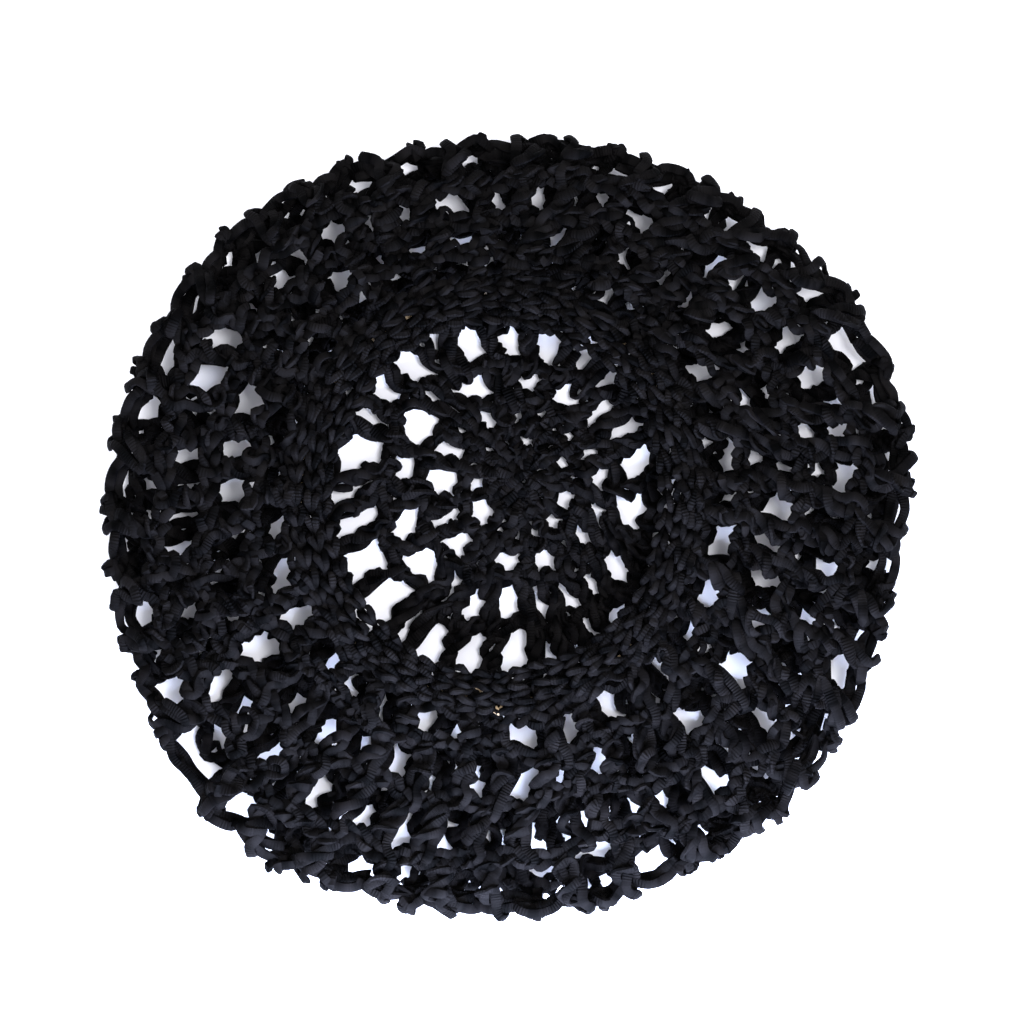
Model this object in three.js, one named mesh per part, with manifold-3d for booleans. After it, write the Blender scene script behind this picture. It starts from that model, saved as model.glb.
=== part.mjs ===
// A crocheted hair snood of black tape yarn, laid flat on its crown with the mouth facing up.
// It is worked in rounds from the heart of the crown: a dense rosette, an open net that
// spreads to the rim, the fold round the side, a net gathered in towards the mouth, and a
// band of tight rounds over an elastic ring, closed by one row of edge chain.
// Millimetres, +Z up. The origin is on the surface that the snood lies on, under the middle.
import * as THREE from "three";
import { mergeVertices } from "three/addons/utils/BufferGeometryUtils.js";
import Module from "manifold-3d";

const wasm = await Module();
wasm.setup();

// Sizes of the bag as it lies
const BAG_DIAMETER = 270; // mean distance across, over the stitches of the rim
const NET_WALL = 5; // one layer of net, strand over strand
const HOLLOW_HEIGHT = 9.5; // clear height between the two layers beside the rim
const RIM_REACH = 9; // how far the fold of the side stands out from the flat layers
const RIM_NUB = 2.4; // how far the stitches of the widest round stand out
const GATHER_DEPTH = 1.6; // height of the ripples where the net is drawn in
const NET_RISE = 2.5; // how much the gathered net climbs towards the band

// Sizes of the heart and of the mouth
const ROSETTE_DIAMETER = 30;
const ROSETTE_THICKNESS = 5.6;
const MAGIC_RING_DIAMETER = 4.4; // the small hole that the first round is worked round
const ROSETTE_SHIFT_X = 6.9; // the heart has slid off the middle as the bag was laid down
const ROSETTE_SHIFT_Y = 16.3;
const MOUTH_WIDTH = 111; // clear opening inside the edge chain, across X
const MOUTH_LENGTH = 117; // and across Y
const MOUTH_SHIFT_X = -2.6;
const MOUTH_SHIFT_Y = 10.7;
const BAND_WIDTH = 10.5;
const BAND_THICKNESS = 6.4;
const BAND_ROUND_RELIEF = 1.3; // depth of the grooves between the rounds of the band
const EDGE_CHAIN_WIDTH = 4;
const EDGE_CHAIN_THICKNESS = 4.4;
const ELASTIC_DIAMETER = 2.4;
const JOIN_GAP = 0.3; // clearance between one piece and the next

// Counts
const ROUND_STEPS = 72; // faces round each net
const RIM_NUBS = 36; // stitches in the widest round
const GATHERS = 18; // ripples round the gathered net
const ROSETTE_PETALS = 12; // stitches of the first round
const ROSETTE_STEPS = 36;
const BAND_STEPS = 48;
const BAND_ROUNDS = 3;
const ELASTIC_SIDES = 5;
const FOLD_STEPS = 5; // faces round the fold, from the lower layer to the upper one

// The lobes that make the outline less than round: how many, their height as a share of
// the bag's radius, and the direction of the first one in degrees from +X.
const OUTLINE_LOBES = [
  { lobes: 1, height: 0.012, towards: 80 },
  { lobes: 2, height: 0.02, towards: 20 },
  { lobes: 3, height: 0.01, towards: 18 },
  { lobes: 4, height: 0.016, towards: 40 },
  { lobes: 5, height: 0.006, towards: 15 },
  { lobes: 7, height: 0.007, towards: 21 },
];

// The open gaps of the net, a row for each round of them. across is the middle of the
// round as a share of the way across its piece, from the heart's side to the mouth's.
// wide is a gap's width as a share of the room it has, and tall its length along the
// way to the mouth as a share of the piece.
const GAP_ROUNDS = [
  { piece: "crown_net", across: 0.13, count: 6, turn: 0, wide: 0.56, tall: 0.13 },
  { piece: "crown_net", across: 0.37, count: 12, turn: 0.5, wide: 0.62, tall: 0.155 },
  { piece: "crown_net", across: 0.62, count: 18, turn: 0, wide: 0.62, tall: 0.155 },
  { piece: "crown_net", across: 0.865, count: 24, turn: 0.5, wide: 0.58, tall: 0.15 },
  { piece: "side_net", across: 0.5, count: 18, turn: 0, wide: 0.4, tall: 0.46 },
  { piece: "gathered_net", across: 0.26, count: 20, turn: 0.5, wide: 0.54, tall: 0.27 },
  { piece: "gathered_net", across: 0.73, count: 15, turn: 0, wide: 0.42, tall: 0.25 },
];

// One gap as the house shape that a mesh of posts and chains pulls open, with the foot
// drawn in where a stitch stands. across and along run from -1 to 1, and the peak points
// to the next round, on the mouth's side.
const GAP_CORNERS = [
  { across: -0.84, along: -1 },
  { across: 0, along: -0.74 },
  { across: 0.84, along: -1 },
  { across: 1, along: 0.34 },
  { across: 0, along: 1 },
  { across: -1, along: 0.34 },
];

const YARN_BLACK = { color: 0x1b1b1e, roughness: 0.82, metalness: 0 };
const ELASTIC_TAN = { color: 0xb08d62, roughness: 0.6, metalness: 0 };

const TURN = Math.PI * 2;
const LOWER_MIDDLE = NET_WALL / 2; // height of the lower layer's middle surface
const UPPER_MIDDLE = LOWER_MIDDLE + NET_WALL + HOLLOW_HEIGHT;
const FOLD_MIDDLE = (LOWER_MIDDLE + UPPER_MIDDLE) / 2;
const BAND_MIDDLE = UPPER_MIDDLE + NET_RISE;

// Closed curves round the bag, each a function of the angle

function outlineRadius(angle) {
  let share = 1;
  for (const lobe of OUTLINE_LOBES) {
    const towards = THREE.MathUtils.degToRad(lobe.towards);
    share += lobe.height * Math.cos(lobe.lobes * (angle - towards));
  }
  return (BAG_DIAMETER / 2) * share;
}

function around(radius, angle) {
  return new THREE.Vector2(Math.cos(angle), Math.sin(angle)).multiplyScalar(radius);
}

// Where the flat layers end and the fold begins, inset from the outline.
function foldLine(angle, inset) {
  return around(outlineRadius(angle) - RIM_REACH - NET_WALL / 2 - inset, angle);
}

// An oval round the mouth, grown by a distance from the clear opening's edge.
function mouthLine(angle, grown) {
  return new THREE.Vector2(
    MOUTH_SHIFT_X + (MOUTH_WIDTH / 2 + grown) * Math.cos(angle),
    MOUTH_SHIFT_Y + (MOUTH_LENGTH / 2 + grown) * Math.sin(angle),
  );
}

function rosetteLine(angle, grown) {
  const shift = new THREE.Vector2(ROSETTE_SHIFT_X, ROSETTE_SHIFT_Y);
  return around(ROSETTE_DIAMETER / 2 + grown, angle).add(shift);
}

// Middle surfaces of the three nets: a point for an angle and a share of the way across

function crownMiddle(angle, across) {
  const at = rosetteLine(angle, JOIN_GAP).lerp(foldLine(angle, JOIN_GAP / 2), across);
  return new THREE.Vector3(at.x, at.y, LOWER_MIDDLE);
}

function sideMiddle(angle, across) {
  const bend = Math.PI * (across - 0.5);
  const nub = (RIM_NUB / 2) * Math.cos(RIM_NUBS * angle) * Math.cos(bend) ** 2;
  const reach = (RIM_REACH - RIM_NUB / 2) * Math.cos(bend) + nub;
  const at = foldLine(angle, -JOIN_GAP / 2).add(around(reach, angle));
  const half = (UPPER_MIDDLE - LOWER_MIDDLE) / 2;
  return new THREE.Vector3(at.x, at.y, FOLD_MIDDLE + half * Math.sin(bend));
}

function gatheredMiddle(angle, across) {
  const bandOuter = mouthLine(angle, EDGE_CHAIN_WIDTH + BAND_WIDTH + 2 * JOIN_GAP);
  const at = foldLine(angle, JOIN_GAP / 2).lerp(bandOuter, across);
  const nearBand = THREE.MathUtils.smoothstep(across, 0, 1);
  const rise = NET_RISE + GATHER_DEPTH * Math.cos(GATHERS * angle);
  return new THREE.Vector3(at.x, at.y, UPPER_MIDDLE + rise * nearBand);
}

// Unit vectors at a point of a middle surface: round the bag, towards the mouth, outwards.
function directionsAt(middle, angle, across) {
  const step = 0.01;
  const round = middle(angle + step, across).sub(middle(angle - step, across));
  const along = middle(angle, across + step).sub(middle(angle, across - step));
  const out = new THREE.Vector3().crossVectors(round, along).normalize();
  return { round: round.normalize(), along: along.normalize(), out };
}

// Solids

// A closed ring from a function that gives the corners of its section at each angle: up the
// side nearest the heart, and down the side nearest the rim. The section is swept round the
// bag and meets itself.
function ringGeometry(sectionAt, steps) {
  const points = [];
  for (let i = 0; i < steps; i++) points.push(...sectionAt((i / steps) * TURN));
  const corners = points.length / steps;
  const faces = [];
  for (let i = 0; i < steps; i++) {
    const here = i * corners;
    const next = ((i + 1) % steps) * corners;
    for (let j = 0; j < corners; j++) {
      const k = (j + 1) % corners;
      faces.push(here + j, next + k, next + j, here + j, here + k, next + k);
    }
  }
  const positions = new Float32Array(points.flatMap((p) => [p.x, p.y, p.z]));
  return new THREE.BufferGeometry()
    .setAttribute("position", new THREE.BufferAttribute(positions, 3))
    .setIndex(faces);
}

// The wall of a net: its middle surface moved half a wall to each side.
function netGeometry(middle, rows) {
  const sectionAt = (angle) => {
    const inner = [];
    const outer = [];
    for (let i = 0; i <= rows; i++) {
      const across = i / rows;
      const { out } = directionsAt(middle, angle, across);
      const at = middle(angle, across);
      outer.push(at.clone().addScaledVector(out, NET_WALL / 2));
      inner.push(at.clone().addScaledVector(out, -NET_WALL / 2));
    }
    return [...outer.reverse(), ...inner];
  };
  return ringGeometry(sectionAt, ROUND_STEPS);
}

function solidOf(geometry) {
  const bare = geometry.clone();
  bare.deleteAttribute("normal");
  bare.deleteAttribute("uv");
  const merged = mergeVertices(bare, 1e-4);
  return new wasm.Manifold(
    new wasm.Mesh({
      numProp: 3,
      vertProperties: new Float32Array(merged.attributes.position.array),
      triVerts: new Uint32Array(merged.index.array),
    }),
  );
}

function geometryOf(solid) {
  const mesh = solid.getMesh();
  return new THREE.BufferGeometry()
    .setAttribute("position", new THREE.BufferAttribute(mesh.vertProperties, 3))
    .setIndex(new THREE.BufferAttribute(mesh.triVerts, 1));
}

// The cutter of one gap: the house shape, extruded through the wall along its normal.
function gapCutter(middle, angle, round) {
  const { round: sideways, along, out } = directionsAt(middle, angle, round.across);
  const at = middle(angle, round.across);
  const room = at.distanceTo(middle(angle + TURN / round.count, round.across));
  const length = middle(angle, round.across - round.tall / 2).distanceTo(
    middle(angle, round.across + round.tall / 2),
  );
  const corners = GAP_CORNERS.map(
    (corner) =>
      new THREE.Vector2(
        (corner.across * round.wide * room) / 2,
        (corner.along * length) / 2,
      ),
  );
  const depth = NET_WALL * 1.6;
  const cutter = new THREE.ExtrudeGeometry(new THREE.Shape(corners), {
    depth,
    bevelEnabled: false,
  });
  cutter.translate(0, 0, -depth / 2);
  const squareAlong = new THREE.Vector3().crossVectors(out, sideways);
  const place = new THREE.Matrix4().makeBasis(sideways, squareAlong, out);
  return cutter.applyMatrix4(place.setPosition(at));
}

function openNet(name, middle, rows) {
  let solid = solidOf(netGeometry(middle, rows));
  const cutters = [];
  for (const round of GAP_ROUNDS.filter((row) => row.piece === name)) {
    for (let i = 0; i < round.count; i++) {
      const angle = ((i + round.turn) / round.count) * TURN;
      cutters.push(solidOf(gapCutter(middle, angle, round)));
    }
  }
  for (const cutter of cutters) solid = solid.subtract(cutter);
  return geometryOf(solid);
}

// The dense start: a flat ring with a ridge for each stitch of the first round.
function rosetteGeometry() {
  const outer = rosetteLine;
  const sectionAt = (angle) => {
    const ridge = 0.5 + 0.5 * Math.cos(ROSETTE_PETALS * angle);
    const inner = -(ROSETTE_DIAMETER - MAGIC_RING_DIAMETER) / 2;
    const hip = inner / 2;
    const top = ROSETTE_THICKNESS * (0.78 + 0.22 * ridge);
    const corner = (grown, height) => {
      const at = outer(angle, grown);
      return new THREE.Vector3(at.x, at.y, height);
    };
    return [
      corner(inner, 0),
      corner(inner, ROSETTE_THICKNESS * 0.5),
      corner(inner * 0.86, ROSETTE_THICKNESS * 0.72),
      corner(hip, top),
      corner(inner * 0.1, ROSETTE_THICKNESS * 0.8),
      corner(0, ROSETTE_THICKNESS * 0.5),
      corner(0, 0),
    ];
  };
  return ringGeometry(sectionAt, ROSETTE_STEPS);
}

// The band: three rounds lying side by side, with the elastic in a groove below them.
function bandGeometry() {
  const inner = EDGE_CHAIN_WIDTH + JOIN_GAP;
  const grooveHalf = ELASTIC_DIAMETER / 2 + JOIN_GAP;
  const grooveTop = grooveHalf * 2;
  const middle = inner + BAND_WIDTH / 2;
  const bottom = BAND_MIDDLE - BAND_THICKNESS / 2;
  const top = BAND_MIDDLE + BAND_THICKNESS / 2;
  const sectionAt = (angle) => {
    const corner = (grown, height) => {
      const at = mouthLine(angle, grown);
      return new THREE.Vector3(at.x, at.y, height);
    };
    const ridges = [];
    for (let i = 0; i < BAND_ROUNDS; i++) {
      const crest = inner + (BAND_WIDTH * (i + 0.5)) / BAND_ROUNDS;
      if (i > 0) {
        const groove = inner + (BAND_WIDTH * i) / BAND_ROUNDS;
        ridges.push(corner(groove, top - BAND_ROUND_RELIEF));
      }
      ridges.push(corner(crest, top));
    }
    return [
      corner(inner, bottom + BAND_ROUND_RELIEF),
      corner(inner, top - BAND_ROUND_RELIEF),
      ...ridges,
      corner(inner + BAND_WIDTH, top - BAND_ROUND_RELIEF),
      corner(inner + BAND_WIDTH, bottom + BAND_ROUND_RELIEF),
      corner(middle + BAND_WIDTH * 0.36, bottom),
      corner(middle + grooveHalf, bottom),
      corner(middle + grooveHalf, bottom + grooveTop),
      corner(middle - grooveHalf, bottom + grooveTop),
      corner(middle - grooveHalf, bottom),
      corner(middle - BAND_WIDTH * 0.36, bottom),
    ];
  };
  return ringGeometry(sectionAt, BAND_STEPS);
}

// A ring of oval section that follows the mouth.
function mouthRingGeometry(grown, height, width, thickness, sides) {
  const sectionAt = (angle) => {
    const section = [];
    for (let i = 0; i < sides; i++) {
      const turn = -((i + 0.5) / sides) * TURN;
      const at = mouthLine(angle, grown + (width / 2) * Math.cos(turn));
      const rise = (thickness / 2) * Math.sin(turn);
      section.push(new THREE.Vector3(at.x, at.y, height + rise));
    }
    return section;
  };
  return ringGeometry(sectionAt, BAND_STEPS);
}

function edgeChainGeometry() {
  const sides = 6;
  // Six flat sides lie inside the oval, so the oval is widened to keep the stated width.
  const width = EDGE_CHAIN_WIDTH / Math.cos(Math.PI / sides);
  return mouthRingGeometry(
    EDGE_CHAIN_WIDTH / 2,
    BAND_MIDDLE,
    width,
    EDGE_CHAIN_THICKNESS,
    sides,
  );
}

function elasticGeometry() {
  return mouthRingGeometry(
    EDGE_CHAIN_WIDTH + JOIN_GAP + BAND_WIDTH / 2,
    BAND_MIDDLE - BAND_THICKNESS / 2 + JOIN_GAP + ELASTIC_DIAMETER / 2,
    ELASTIC_DIAMETER,
    ELASTIC_DIAMETER,
    ELASTIC_SIDES,
  );
}

// The snood

function piece(name, geometry, finish) {
  const mesh = new THREE.Mesh(geometry, new THREE.MeshStandardMaterial(finish));
  mesh.name = name;
  return mesh;
}

const CROWN_ROWS = 1;
const GATHERED_ROWS = 2;

const snood = new THREE.Group();
snood.add(
  piece("crown_rosette", rosetteGeometry(), YARN_BLACK),
  piece("crown_net", openNet("crown_net", crownMiddle, CROWN_ROWS), YARN_BLACK),
  piece("side_net", openNet("side_net", sideMiddle, FOLD_STEPS), YARN_BLACK),
  piece("gathered_net", openNet("gathered_net", gatheredMiddle, GATHERED_ROWS), YARN_BLACK),
  piece("mouth_band", bandGeometry(), YARN_BLACK),
  piece("edge_chain", edgeChainGeometry(), YARN_BLACK),
  piece("elastic_ring", elasticGeometry(), ELASTIC_TAN),
);

// The bag is set down so that the origin is on the surface, under the middle of its extent.
const extent = new THREE.Box3().setFromObject(snood);
const middle = extent.getCenter(new THREE.Vector3());
snood.position.set(-middle.x, -middle.y, -extent.min.z);

const laidDown = new THREE.Group();
laidDown.add(snood);

export default laidDown;
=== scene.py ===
# %% [markdown]
# # A crocheted hair snood, stitch by stitch
#
# A snood is a round openwork bag for the hair. This one is crocheted in a flat black
# tape yarn, from the heart of the crown outwards, and gathered at the mouth by a band
# over an elastic ring. It lies on its crown, so the camera looks into the mouth.
# The solids of the part give its size and place, and this lesson makes the yarn itself:
# every round is one long strand, bent through its stitches and swept as a tape.

# %% Load the frame
import math

import bpy
import numpy as np
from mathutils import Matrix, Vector


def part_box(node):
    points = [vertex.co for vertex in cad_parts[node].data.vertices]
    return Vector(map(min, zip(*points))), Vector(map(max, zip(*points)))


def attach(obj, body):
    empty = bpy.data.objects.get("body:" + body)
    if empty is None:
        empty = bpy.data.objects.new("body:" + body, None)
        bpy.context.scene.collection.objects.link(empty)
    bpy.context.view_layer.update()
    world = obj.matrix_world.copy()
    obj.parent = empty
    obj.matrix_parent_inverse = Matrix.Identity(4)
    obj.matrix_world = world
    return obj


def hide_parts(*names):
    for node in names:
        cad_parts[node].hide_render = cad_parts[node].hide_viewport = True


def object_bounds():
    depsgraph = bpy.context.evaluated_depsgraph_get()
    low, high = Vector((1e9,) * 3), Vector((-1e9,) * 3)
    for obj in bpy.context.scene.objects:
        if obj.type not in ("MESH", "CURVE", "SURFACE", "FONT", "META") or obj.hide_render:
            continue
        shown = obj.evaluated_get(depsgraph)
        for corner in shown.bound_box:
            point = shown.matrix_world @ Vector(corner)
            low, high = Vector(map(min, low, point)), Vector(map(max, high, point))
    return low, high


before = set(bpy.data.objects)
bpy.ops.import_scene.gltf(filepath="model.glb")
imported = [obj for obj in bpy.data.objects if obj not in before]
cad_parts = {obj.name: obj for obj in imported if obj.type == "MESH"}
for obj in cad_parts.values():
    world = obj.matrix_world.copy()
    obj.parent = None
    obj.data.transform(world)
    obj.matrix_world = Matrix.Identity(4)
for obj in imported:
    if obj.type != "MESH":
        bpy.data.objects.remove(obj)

MM = 0.001
TURN = 2 * math.pi

cad_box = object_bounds()
print("solids:", sorted(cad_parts))
print("solid size in mm:", [round((b - a) / MM, 1) for a, b in zip(*cad_box)])

# %% [markdown]
# ## Camera, board and light
#
# The photo looks straight down from far away, so a long lens high above the bag gives
# the same flat view. A matte white board fills the picture. Outside the bag it glows a
# little, which fades the bag's outer shadow and keeps the board nearly pure white. The
# key light hangs high up and a little to the right, a cool light low on the near side
# tints the near edge of the bag blue, and a pale sky fills the shadows.

# %% Camera above the mouth
CAMERA_HEIGHT = 1600 * MM
NET_HEIGHT = 10 * MM
PICTURE_WIDTH = 336.6 * MM  # what the picture spans at the height of the net
PICTURE_CENTRE = (0.6 * MM, 5.7 * MM)
SENSOR = 36.0
FARTHEST = 10.0  # metres that the camera sees

camera_data = bpy.data.cameras.new("camera")
camera_data.sensor_width = SENSOR
camera_data.lens = SENSOR * (CAMERA_HEIGHT - NET_HEIGHT) / PICTURE_WIDTH
camera_data.clip_end = FARTHEST
camera = bpy.data.objects.new("camera", camera_data)
camera.location = (*PICTURE_CENTRE, CAMERA_HEIGHT)
bpy.context.scene.collection.objects.link(camera)
bpy.context.scene.camera = camera
print("lens in mm:", round(camera_data.lens, 1))

# %% White board
BOARD_SIZE = 6.0
BOARD_WHITE = (0.81, 0.815, 0.875, 1)
BOARD_GLOW = 0.4
GLOW_SPAN = (0.94, 1.0)  # shares of the bag's half size where the glow starts and is full
BAG_HALF = [(high - low) / 2 for low, high in zip(*cad_box)]


def make_paint():
    """Matte white that glows a little outside the bag, so its outer shadow fades."""
    paint = bpy.data.materials.new("white_board")
    paint.use_nodes = True
    tree = paint.node_tree
    shader = tree.nodes["Principled BSDF"]
    shader.inputs["Base Color"].default_value = BOARD_WHITE
    shader.inputs["Roughness"].default_value = 0.9
    shader.inputs["Specular IOR Level"].default_value = 0.1
    shader.inputs["Emission Color"].default_value = (1, 1, 1, 1)
    place = tree.nodes.new("ShaderNodeTexCoord")
    scaled = tree.nodes.new("ShaderNodeMapping")
    scaled.inputs["Scale"].default_value = (1 / BAG_HALF[0], 1 / BAG_HALF[1], 0)
    length = tree.nodes.new("ShaderNodeVectorMath")
    length.operation = "LENGTH"
    glow = tree.nodes.new("ShaderNodeMapRange")
    glow.inputs["From Min"].default_value = GLOW_SPAN[0]
    glow.inputs["From Max"].default_value = GLOW_SPAN[1]
    glow.inputs["To Max"].default_value = BOARD_GLOW
    tree.links.new(place.outputs["Object"], scaled.inputs["Vector"])
    tree.links.new(scaled.outputs["Vector"], length.inputs[0])
    tree.links.new(length.outputs["Value"], glow.inputs["Value"])
    tree.links.new(glow.outputs["Result"], shader.inputs["Emission Strength"])
    return paint


def make_board():
    half = BOARD_SIZE / 2
    corners = [(-half, -half, 0), (half, -half, 0), (half, half, 0), (-half, half, 0)]
    mesh = bpy.data.meshes.new("board")
    mesh.from_pydata(corners, [], [(0, 1, 2, 3)])
    board = bpy.data.objects.new("board", mesh)
    bpy.context.scene.collection.objects.link(board)
    mesh.materials.append(make_paint())


make_board()
print("board in metres:", BOARD_SIZE)

# %% Soft light
KEY = dict(place=(0.5, 0.08, 1.7), power=23.0, size=0.45, colour=(1.0, 0.99, 0.98))
FILL = dict(place=(0.04, -0.29, 0.12), power=13.0, size=0.3, colour=(0.64, 0.73, 1.0))
SKY_COLOUR = (0.95, 0.955, 1.0, 1)
SKY_STRENGTH = 1.65


def make_light(name, place, power, size, colour):
    data = bpy.data.lights.new(name, "AREA")
    data.energy = power
    data.size = size
    data.color = colour
    lamp = bpy.data.objects.new(name, data)
    lamp.location = place
    lamp.rotation_euler = Vector(place).to_track_quat("Z", "Y").to_euler()
    bpy.context.scene.collection.objects.link(lamp)


make_light("key_light", **KEY)
make_light("cool_fill", **FILL)
sky = bpy.data.worlds.new("studio")
sky.use_nodes = True
sky.node_tree.nodes["Background"].inputs["Color"].default_value = SKY_COLOUR
sky.node_tree.nodes["Background"].inputs["Strength"].default_value = SKY_STRENGTH
bpy.context.scene.world = sky
bpy.context.scene.view_settings.view_transform = "Standard"
print("lit by a key, a cool fill and a pale sky")

# %% [markdown]
# ## The form of the bag
#
# The yarn has to lie where the solids are, so the form is measured from them: the
# outline of the rim, the two flat layers, and the ovals of the mouth. Between those,
# one function gives the middle of the fabric for a direction and a distance walked
# from the heart: out along the lower layer, round the fold, and back to the mouth.

# %% Measure the solids


def node_points(name):
    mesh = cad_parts[name].data
    places = np.empty(len(mesh.vertices) * 3)
    mesh.vertices.foreach_get("co", places)
    return places.reshape(-1, 3)


def box_centre(name):
    low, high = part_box(name)
    return np.array((low + high) / 2)


def box_half(name):
    low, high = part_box(name)
    return np.array((high - low) / 2)


HEART = box_centre("crown_rosette")[:2]
MOUTH_CENTRE = box_centre("mouth_band")[:2]
BAND_OUTER = box_half("mouth_band")[:2]
CHAIN_OUTER = box_half("edge_chain")[:2]
BAND_HEIGHT = box_centre("mouth_band")[2]
NET_WALL = 2 * box_half("crown_net")[2]
UPPER_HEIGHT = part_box("side_net")[1].z - NET_WALL / 2
EDGE_CHAIN_WIDTH = 4 * MM
MOUTH_OPEN = CHAIN_OUTER - EDGE_CHAIN_WIDTH
print("clear mouth in mm:", np.round(2 * MOUTH_OPEN / MM, 1))

# %% Outline of the rim as a sum of a few waves
OUTLINE_WAVES = 7
OUTLINE_STEPS = 72


def wave_terms(angle):
    terms = [np.ones_like(angle)]
    for k in range(1, OUTLINE_WAVES + 1):
        terms += [np.cos(k * angle), np.sin(k * angle)]
    return np.stack(terms, -1)


def fit_outline():
    rim = node_points("side_net")
    angle = np.arctan2(rim[:, 1], rim[:, 0])
    radius = np.hypot(rim[:, 0], rim[:, 1])
    sector = np.round(angle / TURN * OUTLINE_STEPS).astype(int) % OUTLINE_STEPS
    reach = np.array([radius[sector == s].max() for s in range(OUTLINE_STEPS)])
    middle = np.arange(OUTLINE_STEPS) / OUTLINE_STEPS * TURN
    return np.linalg.lstsq(wave_terms(middle), reach, rcond=None)[0]


OUTLINE = fit_outline()


def outline_radius(angle):
    return wave_terms(angle) @ OUTLINE


print("mean radius in mm:", round(OUTLINE[0] / MM, 1))

# %% [markdown]
# ## Hand-worked unevenness
#
# Nothing in a slack net of tape yarn lies where a compass would put it. Slow waves push
# the fabric of each layer sideways by a few millimetres. They fade out at the heart and
# at the band, where the work is tight, and are held back at the rim, whose outline is
# known.

# %% Slow sideways drift of a layer
DRIFT_LENGTHS = (95, 62, 40, 27)  # mm from crest to crest
DRIFT_REACH = 0.024  # share of its length that a wave pushes the fabric


def layer_drift(flat, seed):
    draw = np.random.default_rng(seed)
    drift = np.zeros_like(flat)
    for length in DRIFT_LENGTHS:
        for axis in (0, 1):
            heading_of_wave = draw.uniform(0, TURN)
            run = np.array([math.cos(heading_of_wave), math.sin(heading_of_wave)])
            phase = flat @ run * TURN / (length * MM) + draw.uniform(0, TURN)
            drift[:, axis] += np.sin(phase) * length * MM * DRIFT_REACH
    return drift


# %% Middle of the fabric for a direction and a way walked from the heart
LOWER_HEIGHT = 3.6 * MM  # the strands of the lower layer lie on the board
RIM_REACH = 9 * MM
RIM_YARN = 3.6 * MM  # from the middle of the fabric at the rim to the outermost yarn
FOLD_INSET = RIM_REACH + RIM_YARN
CROWN_WAY = 124.0  # nominal millimetres from the heart to the fold
FOLD_WAY = 26.0  # round the fold
GATHER_WAY = 66.0  # from the fold to the band
BAND_WAY = 14.5  # across the band to the open mouth
STATIONS = np.cumsum([0, CROWN_WAY, FOLD_WAY, GATHER_WAY, BAND_WAY])
RIM_WAY = CROWN_WAY + FOLD_WAY / 2
GATHERS = 18
GATHER_DEPTH = 1.6 * MM
SLACK_FROM = 14.0  # mm of way from the heart where the drift begins
SLACK_RISE = 34.0  # mm of way over which it grows
SLACK_FALL = 22.0  # mm of way before the band over which it dies down
RIM_SPAN = 10.0  # mm of way on each side of the rim where the drift is held back
RIM_HOLD = 0.75  # share of the drift that the rim holds back
LOWER_SEED, UPPER_SEED = 11, 12


def heading(angle):
    return np.stack([np.cos(angle), np.sin(angle)], -1)


def smooth_step(share):
    share = np.clip(share, 0, 1)
    return share * share * (3 - 2 * share)


def near_rim(way):
    return np.exp(-(((way - RIM_WAY) / RIM_SPAN) ** 2))


def bag_middle(angle, way):
    """Points of the middle of the fabric, for angles and ways from the heart in mm."""
    way = np.clip(way, 0, STATIONS[-1])
    crown = np.clip(way / CROWN_WAY, 0, 1)[:, None]
    bend = math.pi * (np.clip((way - STATIONS[1]) / FOLD_WAY, 0, 1) - 0.5)
    gather = np.clip((way - STATIONS[2]) / GATHER_WAY, 0, 1)[:, None]
    band = np.clip((way - STATIONS[3]) / BAND_WAY, 0, 1)[:, None]
    fold = heading(angle) * (outline_radius(angle) - FOLD_INSET)[:, None]
    flat = HEART * (1 - crown) + fold * crown
    flat = flat + heading(angle) * (RIM_REACH * np.cos(bend))[:, None]
    band_edge = MOUTH_CENTRE + heading(angle) * BAND_OUTER
    mouth_edge = MOUTH_CENTRE + heading(angle) * MOUTH_OPEN
    flat = flat * (1 - gather) + band_edge * gather
    flat = flat + (mouth_edge - band_edge) * band
    slack = smooth_step((way - SLACK_FROM) / SLACK_RISE)
    slack = slack * smooth_step((STATIONS[3] - way) / SLACK_FALL)
    slack = slack * (1 - RIM_HOLD * near_rim(way))
    upper = smooth_step((way - STATIONS[1]) / FOLD_WAY)[:, None]
    drift = layer_drift(flat, LOWER_SEED) * (1 - upper) + layer_drift(flat, UPPER_SEED) * upper
    flat = flat + drift * slack[:, None]
    half = (UPPER_HEIGHT - LOWER_HEIGHT) / 2
    ripple = GATHER_DEPTH * np.cos(GATHERS * angle) * (1 - band[:, 0])
    rise = BAND_HEIGHT - UPPER_HEIGHT + ripple
    height = LOWER_HEIGHT + half * (1 + np.sin(bend)) + rise * smooth_step(gather[:, 0])
    return np.column_stack([flat, height])


WORKED = -1  # the rounds are worked clockwise, seen from above


def unit(rows):
    return rows / np.maximum(np.linalg.norm(rows, axis=-1, keepdims=True), 1e-12)


def bag_directions(angle, way):
    """Unit vectors along the work, towards the mouth, and out of the bag."""
    small_turn, small_way = 0.004, 0.4
    around = bag_middle(angle + small_turn, way) - bag_middle(angle - small_turn, way)
    onward = bag_middle(angle, way + small_way) - bag_middle(angle, way - small_way)
    around, onward = unit(around), unit(onward)
    return WORKED * around, onward, unit(np.cross(around, onward))


print("walk from heart to mouth in mm:", STATIONS[-1])

# %% [markdown]
# ## Rounds of stitches
#
# The mesh is plain filet crochet worked in rounds: a tall stitch, a few chains, and the
# next tall stitch. Each row of the table is one round. `head` is how far from the heart
# its top edge lies, `stitches` how many posts stand in it, and `chains` how many chain
# loops lie along the top from one post to the next. `turn` shifts the posts, `full` says
# how loose and wide they are, and `node` is the solid they belong to. At the rim the
# posts of both layers meet in 36 knots. `tape` is the width of the tape in millimetres.

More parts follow.
